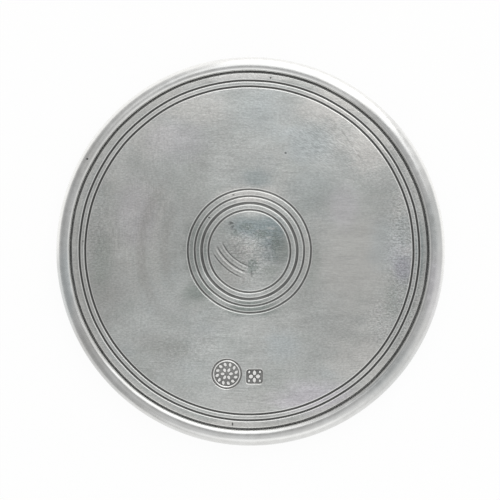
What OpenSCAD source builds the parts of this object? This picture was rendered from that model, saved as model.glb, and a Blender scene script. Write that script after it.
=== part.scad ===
// Wine bottle coaster: a turned pewter plate soldered into a cast pewter rim, standing on a cork pad.
// Millimetres, +Z up. The origin is the middle of the cork's underside, on the table.
// The punched marks lie towards -Y, the side that faces the person at the table.

/* [Rim] */
// Diameter across the outside of the rim
rim_d = 127; // [118:1:140]
// Width of the bead that forms the rim
bead_w = 4.9; // [4.2:0.1:6]
// Height of the crest of the bead above the face of the plate
bead_rise = 2.05; // [1.5:0.05:3]
// Radius of the bead's inner shoulder; its outer shoulder takes up the rest of its width
bead_inner_r = 1.35; // [0.6:0.05:1.6]
// Width of the flat that rubbing has left on the crest
crest_w = 0.1; // [0.05:0.05:0.5]
// How far the foot stands in from the outside of the bead
foot_inset = 1.2; // [0.9:0.1:1.6]
// Radius of the cove under the bead
cove_r = 1.3; // [1.1:0.05:1.5]
// Depth of the cove, in from the side of the foot
cove_depth = 0.7; // [0.4:0.05:0.9]
// How far the middle of the cove lies below the foot of the bead's outer shoulder
cove_drop = 1.7; // [1.5:0.05:2]
// Width of the ledge that carries the plate
ledge_w = 2.6; // [1.6:0.1:4]
// Rounding of the edges of the foot
foot_edge_r = 0.35; // [0.15:0.05:0.5]

/* [Plate] */
// Thickness of the plate
plate_t = 2.4; // [2:0.1:3.5]
// Clearance between the edge of the plate and its seat in the rim
plate_gap = 0.05; // [0.02:0.01:0.1]
// How far the seat stands in from the inside of the bead
seat_proud = 0.1; // [0.05:0.05:0.3]
// Depth of the seam channel between the plate and the bead
seam_depth = 0.75; // [0.55:0.05:1]
// How far the shoulder of the plate stands back from its edge to open the seam channel
seam_step = 0.35; // [0.2:0.05:0.8]
// Rounding of the upper edge of the plate
plate_edge_r = 0.5; // [0.2:0.05:0.5]

/* [Turned rings] */
// Radius of the innermost ring at the middle of the plate
inner_ring_r = 13.4; // [11:0.1:16]
// Step from one middle ring to the next
ring_step = 2.24; // [1.9:0.02:2.6]
// Number of rings round the middle
ring_count = 4; // [2:1:5]
// Distance from the edge of the plate to the outer border ring
border_inset = 2.95; // [2.6:0.05:4]
// Step between the two border rings
border_step = 1.9; // [1.5:0.1:2.5]
// Width of a fine ring
fine_ring_w = 0.85; // [0.6:0.05:1.1]
// Width of the one broad ring, second from the middle
broad_ring_w = 1.3; // [1:0.05:1.6]
// Depth of the rings
ring_depth = 0.3; // [0.15:0.05:0.4]

/* [Punched marks] */
// Diameter of the round mark
seal_d = 10; // [8:0.5:12]
// Place of the round mark, left of the middle
seal_left = 7.4; // [6.5:0.1:9]
// Place of the round mark, in front of the middle
seal_front = 40.2; // [32:0.2:42]
// Width of the small mark
tablet_w = 5.5; // [4:0.1:6.5]
// Depth of the small mark from back to front
tablet_h = 4.8; // [4:0.1:6]
// Corner radius of the small mark
tablet_corner_r = 0.9; // [0.4:0.1:1.4]
// Place of the small mark, right of the middle
tablet_right = 1.7; // [1.7:0.1:4]
// Place of the small mark, in front of the middle
tablet_front = 41.1; // [32:0.2:42]
// Depth of the punched ground below the face
mark_depth = 0.4; // [0.2:0.05:0.6]
// How far the raised design stays below the face
mark_clear = 0.08; // [0.04:0.02:0.12]

/* [Underside] */
// Thickness of the cork
cork_t = 3; // [3:0.25:5]
// Clearance between the cork and the solder round it
cork_gap = 0.2; // [0.1:0.05:0.8]
// Rounding of the lower edge of the cork
cork_edge_r = 0.4; // [0.1:0.1:0.8]
// How far the cork stands below the foot of the rim
foot_gap = 0.6; // [0.2:0.1:1]
// Thickness of the adhesive film
glue_t = 0.15; // [0.1:0.05:0.3]
// Distance from the edge of the cork to the edge of the film
glue_margin = 0.4; // [0.2:0.1:2]
// Thickness of the solder between the plate and the ledge
solder_t = 0.15; // [0.05:0.05:0.25]
// Leg of the solder fillet in the corner under the plate
solder_leg = 0.5; // [0.3:0.05:0.8]

/* [Hidden] */
$fn = 128;
// Overrun of every cut past the face that it opens
over = 0.5;

// Levels, from the table up
plate_z = cork_t + glue_t;
face_z = plate_z + plate_t;
ledge_z = plate_z - solder_t;
crest_z = face_z + bead_rise;
channel_z = face_z - seam_depth;

// Radii, from the outside in
rim_r = rim_d / 2;
bead_outer_r = bead_w - bead_inner_r - crest_w;
bead_in_r = rim_r - bead_w;
foot_r = rim_r - foot_inset;
cove_mid_r = foot_r - cove_depth + cove_r;
cove_mid_z = crest_z - bead_outer_r - cove_drop;
seat_r = bead_in_r - seat_proud;
plate_r = seat_r - plate_gap;
shoulder_r = plate_r - seam_step;
ledge_r = seat_r - ledge_w;
cork_r = ledge_r - solder_leg - cork_gap;
glue_r = cork_r - glue_margin;

// Radii and widths of the rings cut in the face
middle_rings = [for (i = [0 : ring_count - 1]) [inner_ring_r + i * ring_step, i == 1 ? broad_ring_w : fine_ring_w]];
border_rings = [for (i = [0 : 1]) [plate_r - border_inset - i * border_step, fine_ring_w]];

// Design of the round mark: shares of its radius
seal_border_share = 0.91;
seal_border_w_share = 0.12;
leaf_count = 12;
leaf_root_share = 0.48;
leaf_l_share = 0.33;
leaf_w_share = 0.235;
leaf_slant = 38;
petal_count = 6;
petal_root_share = 0.1;
petal_tip_share = 0.44;
petal_w_share = 0.23;

// Design of the small mark: shares of half its shorter side
tablet_petal_count = 4;
tablet_root_share = 0.1;
tablet_tip_share = 0.88;
tablet_petal_w_share = 0.6;
tablet_pellet_inset_share = 0.4;
tablet_pellet_share = 0.2;

ground_z = face_z - mark_depth;
design_h = mark_depth - mark_clear;

pewter = [0.66, 0.67, 0.66];
dull_solder = [0.52, 0.53, 0.53];
cork_tan = [0.74, 0.58, 0.4];
glue_amber = [0.86, 0.8, 0.62];

// What is taken off a square corner at the origin, whose body lies towards +X and +Y, to round it
module corner_cut(r) {
    difference() {
        translate([-over, -over]) square(r + over);
        translate([r, r]) circle(r);
    }
}

// Section of a turned ring: a round-bottomed groove of width w and depth d in a face at height z
module ring_cut(r, w, d, z) {
    tool_r = (pow(w / 2, 2) + pow(d, 2)) / (2 * d);
    translate([r, z + tool_r - d]) circle(tool_r);
}

// A lens-shaped petal of length l and width w that runs out from the origin along +X
module petal(l, w) {
    arc_r = (pow(l / 2, 2) + pow(w / 2, 2)) / w;
    intersection() {
        translate([l / 2, arc_r - w / 2]) circle(arc_r);
        translate([l / 2, w / 2 - arc_r]) circle(arc_r);
    }
}

module petal_ring(count, root, tip, w) {
    for (i = [0 : count - 1])
        rotate(i * 360 / count) translate([root, 0]) petal(tip - root, w);
}

module rounded_rectangle(w, h, r) {
    square([w - 2 * r, h], center = true);
    square([w, h - 2 * r], center = true);
    for (x = [-1, 1], y = [-1, 1])
        translate([x * (w / 2 - r), y * (h / 2 - r)]) circle(r);
}

// Half section of the rim: a rounded bead over a coved foot, with a seat and a ledge turned inside it
module rim_section() {
    difference() {
        union() {
            translate([bead_in_r, cove_mid_z]) square([bead_w, crest_z - cove_mid_z]);
            translate([ledge_r, foot_gap]) square([foot_r - ledge_r, channel_z - foot_gap]);
        }
        translate([bead_in_r, crest_z]) mirror([0, 1]) corner_cut(bead_inner_r);
        translate([rim_r, crest_z]) rotate(180) corner_cut(bead_outer_r);
        translate([cove_mid_r, cove_mid_z]) circle(cove_r);
        translate([ledge_r - over, ledge_z]) square([seat_r - ledge_r + over, plate_t + solder_t]);
        translate([ledge_r, foot_gap]) corner_cut(foot_edge_r);
        translate([foot_r, foot_gap]) mirror([1, 0]) corner_cut(foot_edge_r);
    }
}

module rim_ring() {
    color(pewter) rotate_extrude() rim_section();
}

module plate_section() {
    difference() {
        union() {
            translate([0, plate_z]) square([plate_r, channel_z - plate_z]);
            translate([0, plate_z]) square([shoulder_r, plate_t]);
        }
        translate([shoulder_r, face_z]) rotate(180) corner_cut(plate_edge_r);
        for (ring = concat(middle_rings, border_rings)) ring_cut(ring[0], ring[1], ring_depth, face_z);
    }
}

// Round mark: a six-petal rosette inside a ring of slanting leaves and a plain border
module seal_design() {
    r = seal_d / 2;
    difference() {
        circle(r * seal_border_share);
        circle(r * (seal_border_share - seal_border_w_share));
    }
    for (i = [0 : leaf_count - 1])
        rotate(i * 360 / leaf_count) translate([r * leaf_root_share, 0]) rotate(leaf_slant)
            petal(r * leaf_l_share, r * leaf_w_share);
    petal_ring(petal_count, r * petal_root_share, r * petal_tip_share, r * petal_w_share);
}

// Small mark: four petals in a cross, with a pellet in each corner
module tablet_design() {
    r = min(tablet_w, tablet_h) / 2;
    pellet_inset = r * tablet_pellet_inset_share;
    petal_ring(tablet_petal_count, r * tablet_root_share, r * tablet_tip_share, r * tablet_petal_w_share);
    for (x = [-1, 1], y = [-1, 1])
        translate([x * (tablet_w / 2 - pellet_inset), y * (tablet_h / 2 - pellet_inset)])
            circle(r * tablet_pellet_share);
}

module plate() {
    color(pewter) difference() {
        rotate_extrude() plate_section();
        translate([-seal_left, -seal_front, ground_z]) difference() {
            cylinder(h = mark_depth + over, d = seal_d);
            translate([0, 0, -over]) linear_extrude(over + design_h) seal_design();
        }
        translate([tablet_right, -tablet_front, ground_z]) difference() {
            linear_extrude(mark_depth + over) rounded_rectangle(tablet_w, tablet_h, tablet_corner_r);
            translate([0, 0, -over]) linear_extrude(over + design_h) tablet_design();
        }
    }
}

// Solder: a film on the ledge and a fillet in the corner between the ledge and the plate's underside
module solder_seam() {
    color(dull_solder) rotate_extrude() polygon([
        [plate_r, plate_z],
        [ledge_r - solder_leg, plate_z],
        [ledge_r, plate_z - solder_leg],
        [ledge_r, ledge_z],
        [plate_r, ledge_z]
    ]);
}

module cork_adhesive() {
    color(glue_amber) translate([0, 0, cork_t]) cylinder(h = glue_t, r = glue_r);
}

module cork_pad() {
    color(cork_tan) rotate_extrude() difference() {
        square([cork_r, cork_t]);
        translate([cork_r, 0]) mirror([1, 0]) corner_cut(cork_edge_r);
    }
}

rim_ring();
plate();
solder_seam();
cork_adhesive();
cork_pad();
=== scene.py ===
import math

import bpy
from bpy.props import FloatProperty, FloatVectorProperty, IntProperty, PointerProperty
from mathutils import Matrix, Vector


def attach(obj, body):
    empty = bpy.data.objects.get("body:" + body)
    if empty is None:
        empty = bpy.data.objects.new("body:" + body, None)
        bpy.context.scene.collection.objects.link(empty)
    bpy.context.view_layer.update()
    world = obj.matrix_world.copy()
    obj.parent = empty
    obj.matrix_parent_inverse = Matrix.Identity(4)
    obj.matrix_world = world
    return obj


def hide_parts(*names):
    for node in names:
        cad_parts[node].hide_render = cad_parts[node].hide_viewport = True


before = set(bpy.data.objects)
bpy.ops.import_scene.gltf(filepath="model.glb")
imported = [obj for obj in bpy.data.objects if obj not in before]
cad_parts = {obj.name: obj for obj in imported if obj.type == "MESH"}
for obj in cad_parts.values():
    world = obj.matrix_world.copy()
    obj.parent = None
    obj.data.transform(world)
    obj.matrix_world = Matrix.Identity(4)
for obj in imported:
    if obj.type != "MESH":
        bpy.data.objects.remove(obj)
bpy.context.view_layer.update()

bl_info = {
    "name": "Pewter Bottle Coaster",
    "version": (1, 0, 0),
    "blender": (4, 5, 0),
    "location": "3D View > Sidebar > Coaster",
    "description": "Builds a pewter wine bottle coaster that stands on a cork pad",
    "category": "Add Mesh",
}

MM = 0.001
BODY = "root"

# Steps of a full turn of each kind of piece, and the distance under which spun points are one
TURN_STEPS = 360
SOLDER_STEPS = 240
FILM_STEPS = 180
DIE_STEPS = 96
LEAF_STEPS = 20
WELD = 2e-6
SMOOTH_ANGLE = math.radians(32)

# Wall of a punched mark, from its ground up over its rounded mouth: how far it leans out past the
# mark's outline in millimetres, and its height as a share of the mark's depth
MARK_WALL = ((-0.12, 0.0), (-0.06, 0.45), (-0.02, 0.7), (0.04, 0.88), (0.14, 0.98), (0.26, 1.03))

# How far the solids of a design run down past the ground, in millimetres
MARK_SUNK = 0.06

# Height of a leaf's spindle over that of the leaf, whose top is cut level
LEAF_FULLNESS = 1.5

# Design of the round mark, as shares of its radius; the leaves' slant is in degrees
SEAL_BORDER = (0.79, 0.91)
SEAL_LEAVES = {"count": 12, "root": 0.48, "length": 0.33, "width": 0.235, "slant": 38}
SEAL_PETALS = {"count": 6, "root": 0.1, "length": 0.34, "width": 0.23}

# Design of the small mark, as shares of half its shorter side
SMALL_PETALS = {"count": 4, "root": 0.1, "length": 0.78, "width": 0.6}
SMALL_PELLET_INSET = 0.4
SMALL_PELLET_R = 0.2

# Softening of the sections' small corners, in millimetres
KEEN = 0.04
SMALL = 0.1
LEDGE_SOFT = 0.15
CHANNEL_SOFT = 0.12
GROOVE_SOFT = 0.14
FILM_SOFT = 0.05

# How far the adhesive's side leans in, in millimetres
FILM_LEAN = 0.15

# Where the solder's fillet is hollowed, and how softly, as shares of its leg
FILLET_HOLLOW = (0.35, 0.45, 0.3)

# Hand work on the middle rings: whole up to the first radius, gone at the second, in millimetres
MIDDLE_FIELD = (24, 48)

# Noise seldom nears its limits, so the push that it gives is this much larger
NOISE_GAIN = 4

WHITE = (1.0, 1.0, 1.0, 1.0)

# Layout of the node trees
NODE_COLUMN = 190
NODE_ROW = 260
NODES_A_COLUMN = 5


def millimetres(name, description, value):
    """A length that the user may change, written here in millimetres."""
    return FloatProperty(
        name=name,
        description=description,
        default=value * MM,
        min=0.0,
        precision=5,
        unit="LENGTH",
    )


def colour(name, description, value):
    """A surface colour that the user may change."""
    return FloatVectorProperty(
        name=name,
        description=description,
        default=value,
        size=3,
        min=0.0,
        max=1.0,
        subtype="COLOR",
    )


def share(name, description, value):
    """A share from 0 to 1 that the user may change."""
    return FloatProperty(
        name=name,
        description=description,
        default=value,
        min=0.0,
        max=1.0,
        subtype="FACTOR",
    )


class CoasterRimSizes(bpy.types.PropertyGroup):
    """Sizes of the cast rim."""

    rim_d: millimetres("Rim diameter", "Across the outside of the rim", 127)
    bead_w: millimetres("Bead width", "Width of the rounded bead", 4.9)
    bead_rise: millimetres("Bead rise", "From the plate's face up to the bead's crest", 2.05)
    bead_inner_r: millimetres("Inner shoulder", "Radius of the bead's inner shoulder", 1.35)
    crest_w: millimetres("Crest", "Width of the rubbed flat on the crest", 0.1)
    foot_inset: millimetres("Foot inset", "From the outside of the bead in to the foot", 1.2)
    cove_r: millimetres("Cove radius", "Radius of the hollow under the bead", 1.3)
    cove_depth: millimetres("Cove depth", "From the foot's side in to the hollow's floor", 0.7)
    cove_drop: millimetres("Cove drop", "From the outer shoulder down to the hollow's middle", 1.7)
    ledge_w: millimetres("Ledge width", "Width of the ledge that carries the plate", 2.6)
    foot_edge: millimetres("Foot edge", "Softening of the foot's edges", 0.35)


class CoasterPlateSizes(bpy.types.PropertyGroup):
    """Sizes of the turned plate and its seam."""

    plate_t: millimetres("Plate thickness", "Thickness of the plate", 2.4)
    plate_gap: millimetres("Plate gap", "Clearance between the plate and its seat", 0.05)
    seat_proud: millimetres("Seat", "From the inside of the bead in to the seat", 0.1)
    seam_depth: millimetres("Seam depth", "Depth of the channel between plate and bead", 0.75)
    seam_step: millimetres("Seam step", "Width of the plate's share of the channel", 0.35)
    edge: millimetres("Plate edge", "Softening of the plate's upper edge", 0.5)
    inner_ring_r: millimetres("Inner ring", "Radius of the innermost ring", 13.4)
    ring_step: millimetres("Ring step", "From one middle ring to the next", 2.24)
    ring_count: IntProperty(
        name="Ring count", description="Number of rings round the middle", default=4, min=2, max=5
    )
    border_inset: millimetres("Border inset", "From the plate's edge to the outer border ring", 2.95)
    border_step: millimetres("Border step", "From one border ring to the other", 1.9)
    fine_w: millimetres("Fine ring", "Width of a fine ring", 0.85)
    broad_w: millimetres("Broad ring", "Width of the broad ring, second from the middle", 1.3)
    ring_depth: millimetres("Ring depth", "Depth of the rings", 0.3)
    ring_lip: millimetres("Ring lip", "Softening of the rings' lips", 0.3)


class CoasterMarkSizes(bpy.types.PropertyGroup):
    """Sizes of the two punched marks."""

    seal_d: millimetres("Round mark", "Diameter of the round mark", 10)
    seal_left: millimetres("Round mark left", "From the middle out to its left", 7.4)
    seal_front: millimetres("Round mark front", "From the middle out to its front", 40.2)
    tablet_w: millimetres("Small mark width", "Width of the small mark", 5.5)
    tablet_h: millimetres("Small mark height", "Height of the small mark", 4.8)
    tablet_corner: millimetres("Small mark corner", "Corner radius of the small mark", 0.9)
    tablet_right: millimetres("Small mark right", "From the middle out to its right", 1.7)
    tablet_front: millimetres("Small mark front", "From the middle out to its front", 41.1)
    depth: millimetres("Mark depth", "Depth of the punched ground", 0.4)
    clear: millimetres("Mark clearance", "How far the design stays below the face", 0.08)


class CoasterUndersideSizes(bpy.types.PropertyGroup):
    """Sizes of the cork, its adhesive and the solder."""

    cork_t: millimetres("Cork thickness", "Thickness of the cork", 3)
    cork_gap: millimetres("Cork gap", "Clearance between the cork and the solder", 0.2)
    cork_edge: millimetres("Cork edge", "Softening of the cork's lower edge", 0.4)
    foot_gap: millimetres("Foot gap", "How far the foot stands above the table", 0.6)
    glue_t: millimetres("Adhesive thickness", "Thickness of the adhesive film", 0.15)
    glue_margin: millimetres("Adhesive margin", "From the cork's edge in to the film's", 0.4)
    solder_t: millimetres("Solder thickness", "Thickness of the solder under the plate", 0.15)
    solder_leg: millimetres("Solder fillet", "Leg of the fillet under the plate", 0.5)


class CoasterHandWork(bpy.types.PropertyGroup):
    """How far the hand-made metal strays from true."""

    set_left: millimetres("Plate left", "How far the plate sits to the left in the rim", 0.40)
    set_back: millimetres("Plate back", "How far the plate sits to the back in the rim", 0.30)
    middle_front: millimetres("Middle front", "How far the middle rings sit to the front", 0.2)
    waver: millimetres("Waver", "How far turned lines waver", 0.08)
    waver_length: millimetres("Waver length", "Length of one waver", 12)
    ripple: millimetres("Ripple", "Height of the ripples on the bead", 0.03)
    ripple_length: millimetres("Ripple length", "Length of one ripple on the bead", 6)


class CoasterFinish(bpy.types.PropertyGroup):
    """Colours of the finished surfaces."""

    pewter: colour("Plate pewter", "Clean brushed pewter of the plate", (0.503, 0.52, 0.508))
    # This colour also paints light: lighter patches where light from the front and right falls, painted
    # sheen bands at the left and, with wear, the plate's rounded edge
    worn_pewter_and_sheen: colour("Worn pewter", "Pewter rubbed bright by use", (0.635, 0.625, 0.60))
    cool_pewter: colour("Cool pewter", "Clean pewter under a thin bluish film", (0.50, 0.54, 0.55))
    lilac_pewter: colour("Lilac pewter", "Clean pewter under a thin pinkish film", (0.60, 0.575, 0.62))
    dark_lilac: colour("Dark lilac", "Thin oxide with a purple cast", (0.38, 0.355, 0.42))
    rim_pewter: colour("Rim pewter", "Rubbed pewter of the bead", (0.57, 0.575, 0.57))
    # This colour is mostly painted highlight and painted reflection, partly rubbed wear: on the bead's
    # outer side and inner shoulder, along the lips of rings and marks, on burrs and beside dark lines
    rubbed_edge_and_highlight: colour("Rubbed edge", "Outer side of the bead, bright from handling", (0.92, 0.915, 0.895))
    tarnish: colour("Tarnish", "Dark oxide in the recesses", (0.035, 0.037, 0.036))
    cool_oxide: colour("Cool oxide", "Bluish cloud on the plate", (0.27, 0.315, 0.322))
    green_oxide: colour("Green oxide", "Greenish cloud on the plate", (0.31, 0.345, 0.315))
    warm_oxide: colour("Warm oxide", "Warm grey cloud on the plate", (0.37, 0.36, 0.34))
    dark_oxide: colour("Dark oxide", "Darkest cloud, beside the middle rings", (0.22, 0.25, 0.233))
    solder: colour("Solder", "Dull soft solder", (0.33, 0.34, 0.34))
    adhesive: colour("Adhesive", "Amber adhesive film", (0.70, 0.58, 0.33))
    cork_light: colour("Cork, light", "Lightest cork granules", (0.60, 0.40, 0.22))
    cork_dark: colour("Cork, dark", "Darkest cork granules", (0.27, 0.15, 0.07))
    recess_share: share("Ring tarnish", "How dark the turned rings are", 0.93)
    seam_share: share("Seam tarnish", "How dark the seam round the plate is", 0.74)
    mark_share: share("Mark tarnish", "How dark the ground of the marks is", 0.94)
    # The lips' brightness is a painted highlight, partly rubbed wear
    lip_highlight_share: share("Rubbed lips", "How bright the lips of rings and marks are rubbed", 0.75)
    turned_share: share("Turned sheen", "How far the lathe's lines draw out the plate's sheen", 0.6)


class CoasterStudio(bpy.types.PropertyGroup):
    """Floor, light and camera of the picture."""

    camera_h: FloatProperty(
        name="Camera height", description="Height of the camera", default=0.8, unit="LENGTH"
    )
    field: millimetres("Field", "Width of the picture at the plate", 163.2)
    aim_right: millimetres("Aim right", "How far the coaster lies right of the picture's middle", 0.2)
    aim_front: millimetres("Aim front", "How far the coaster lies below the picture's middle", 0.45)
    floor: colour("Floor", "Colour of the floor", (0.94, 0.94, 0.93))
    key_power: FloatProperty(
        name="Key light", description="Power of the large soft light", default=4.5, unit="POWER"
    )
    fill_power: FloatProperty(
        name="Front card", description="Power of the pale card in front", default=0.6, unit="POWER"
    )


PROPERTY_GROUPS = {
    "coaster_rim": CoasterRimSizes,
    "coaster_plate": CoasterPlateSizes,
    "coaster_marks": CoasterMarkSizes,
    "coaster_underside": CoasterUndersideSizes,
    "coaster_hand": CoasterHandWork,
    "coaster_finish": CoasterFinish,
    "coaster_studio": CoasterStudio,
}


class Levels:
    """Heights and radii that follow from the sizes, in metres."""

    def __init__(self, scene):
        rim = scene.coaster_rim
        plate = scene.coaster_plate
        under = scene.coaster_underside
        self.plate_z = under.cork_t + under.glue_t
        self.face_z = self.plate_z + plate.plate_t
        self.ledge_z = self.plate_z - under.solder_t
        self.crest_z = self.face_z + rim.bead_rise
        self.channel_z = self.face_z - plate.seam_depth
        self.rim_r = rim.rim_d / 2
        self.bead_in_r = self.rim_r - rim.bead_w
        self.bead_outer_r = rim.bead_w - rim.bead_inner_r - rim.crest_w
        self.foot_r = self.rim_r - rim.foot_inset
        self.cove_mid_r = self.foot_r - rim.cove_depth + rim.cove_r
        self.cove_z = self.crest_z - self.bead_outer_r - rim.cove_drop
        self.seat_r = self.bead_in_r - plate.seat_proud
        self.plate_r = self.seat_r - plate.plate_gap
        self.shoulder_r = self.plate_r - plate.seam_step
        self.ledge_r = self.seat_r - rim.ledge_w
        self.cork_r = self.ledge_r - under.solder_leg - under.cork_gap
        self.glue_r = self.cork_r - under.glue_margin

    def rings(self, plate):
        """Radius and width of every ring in the face, from the outermost in."""
        border_r = self.plate_r - plate.border_inset
        rings = [(border_r, plate.fine_w), (border_r - plate.border_step, plate.fine_w)]
        for i in reversed(range(plate.ring_count)):
            width = plate.broad_w if i == 1 else plate.fine_w
            rings.append((plate.inner_ring_r + i * plate.ring_step, width))
        return rings


def arc(centre, radius, start, end, steps):
    """Corners of a section along an arc, from one angle in degrees to another."""
    angles = [math.radians(start + (end - start) * i / steps) for i in range(steps + 1)]
    return [
        (centre[0] + radius * math.cos(a), centre[1] + radius * math.sin(a), 0.0) for a in angles
    ]


def softened(corners, steps=4):
    """The points of a section whose corners (radius, height, softening) are rounded off."""
    points = [corners[0][:2]]
    for before, corner, after in zip(corners, corners[1:], corners[2:]):
        tip = Vector(corner[:2])
        if not corner[2]:
            points.append(tuple(tip))
            continue
        start = tip + (Vector(before[:2]) - tip).normalized() * corner[2]
        end = tip + (Vector(after[:2]) - tip).normalized() * corner[2]
        for i in range(steps + 1):
            t = i / steps
            points.append(tuple(start * (1 - t) ** 2 + tip * 2 * t * (1 - t) + end * t ** 2))
    points.append(corners[-1][:2])
    return points


def picked(*pieces):
    """Selects these pieces alone and makes the first one active."""
    bpy.ops.object.select_all(action="DESELECT")
    for piece in pieces:
        piece.select_set(True)
    bpy.context.view_layer.objects.active = pieces[0]


def begin_edit():
    """Opens the active piece in edit mode with all of its mesh selected."""
    bpy.ops.object.mode_set(mode="EDIT")
    bpy.ops.mesh.select_all(action="SELECT")


def end_edit():
    """Points all faces of the piece outwards and leaves edit mode."""
    bpy.ops.mesh.select_all(action="SELECT")
    bpy.ops.mesh.normals_make_consistent(inside=False)
    bpy.ops.object.mode_set(mode="OBJECT")


def named(name):
    """Names the active object and its data, and returns the object."""
    piece = bpy.context.object
    piece.name = name
    piece.data.name = name
    return piece


def turned(name, section, steps=TURN_STEPS):
    """A turned piece: its section is drawn point by point and spun round the upright axis."""
    bpy.ops.object.select_all(action="DESELECT")
    bpy.ops.mesh.primitive_plane_add(size=MM, location=(0, 0, 0))
    piece = named(name)
    begin_edit()
    bpy.ops.mesh.merge(type="CENTER")
    bpy.ops.transform.translate(value=(section[0][0], 0, section[0][1]))
    for (r, z), (next_r, next_z) in zip(section, section[1:]):
        bpy.ops.mesh.extrude_region_move(
            TRANSFORM_OT_translate={"value": (next_r - r, 0, next_z - z)}
        )
    bpy.ops.mesh.select_all(action="SELECT")
    bpy.ops.mesh.spin(steps=steps, angle=math.tau, center=(0, 0, 0), axis=(0, 0, 1))
    bpy.ops.mesh.select_all(action="SELECT")
    bpy.ops.mesh.remove_doubles(threshold=WELD)
    end_edit()
    return piece


def placed(piece, location=(0, 0, 0), rotation=(0, 0, 0), scale=(1, 1, 1)):
    """Moves, turns and scales a piece, and puts its place into its mesh."""
    picked(piece)
    piece.location = location
    piece.rotation_euler = rotation
    piece.scale = scale
    bpy.ops.object.transform_apply(location=True, rotation=True, scale=True)
    return piece


def joined(name, pieces):
    """Joins pieces into one object."""
    picked(*pieces)
    bpy.ops.object.join()
    return named(name)


def applied(piece, kind, **settings):
    """Adds a modifier to a piece, sets it and applies it."""
    picked(piece)
    modifier = piece.modifiers.new(kind.lower(), kind)
    for name, value in settings.items():
        setattr(modifier, name, value)
    bpy.ops.object.modifier_apply(modifier=modifier.name)


def cut_away(piece, cutter, use_self=False):
    """Cuts one solid out of another and takes the cutter away. A cutter made of solids that run
    into each other needs use_self."""
    applied(
        piece, "BOOLEAN", operation="DIFFERENCE", solver="EXACT", use_self=use_self, object=cutter
    )
    bpy.data.objects.remove(cutter)
    begin_edit()
    bpy.ops.mesh.remove_doubles(threshold=WELD)
    bpy.ops.object.mode_set(mode="OBJECT")


def smoothed(piece):
    """Shades a piece smooth, with its sharp edges kept."""
    picked(piece)
    bpy.ops.object.shade_smooth_by_angle(angle=SMOOTH_ANGLE)


def weighted(piece, name, weight):
    """Gives a piece a vertex group, with a weight for each point by its place."""
    group = piece.vertex_groups.new(name=name)
    for vertex in piece.data.vertices:
        group.add([vertex.index], weight(vertex.co), "REPLACE")
    return name


def clouds(name, size, basis):
    """A soft noise texture for displacing a piece."""
    texture = bpy.data.textures.get(name) or bpy.data.textures.new(name, "CLOUDS")
    texture.noise_scale = size
    texture.noise_basis = basis
    texture.noise_depth = 3
    return texture


def hand_worked(piece, levels, hand):
    """Sets the plate slightly off the rim's middle and lets turned lines waver as hand work does.
    Plate and rim move by the same field, so that the seam between them stays open."""
    inside = levels.seat_r
    outside = levels.rim_r
    near, far = (radius * MM for radius in MIDDLE_FIELD)

    def share_inside(place):
        r = math.hypot(place.x, place.y)
        return min(1.0, max(0.0, (outside - r) / (outside - inside)))

    def share_middle(place):
        r = math.hypot(place.x, place.y)
        return min(1.0, max(0.0, (far - r) / (far - near)))

    def share_bead(place):
        r = math.hypot(place.x, place.y)
        return 1.0 if r > inside and place.z > levels.channel_z else 0.0

    def pushed(direction, strength, group, level=0.0, texture=None):
        settings = {"direction": direction, "strength": strength, "vertex_group": group}
        if texture:
            settings.update(texture=texture, texture_coords="GLOBAL")
        applied(piece, "DISPLACE", mid_level=level, **settings)

    seam = weighted(piece, "inside", share_inside)
    pushed("X", -hand.set_left, seam)
    pushed("Y", hand.set_back, seam)
    middle = weighted(piece, "middle", share_middle)
    pushed("Y", -hand.middle_front, middle)
    for direction, basis in (("X", "BLENDER_ORIGINAL"), ("Y", "ORIGINAL_PERLIN")):
        texture = clouds(f"waver {direction}", hand.waver_length, basis)
        pushed(direction, NOISE_GAIN * hand.waver, seam, 0.5, texture)
    bead = weighted(piece, "bead", share_bead)
    texture = clouds("ripple", hand.ripple_length, "IMPROVED_PERLIN")
    pushed("Z", NOISE_GAIN * hand.ripple, bead, 0.75, texture)
    piece.vertex_groups.clear()


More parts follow.
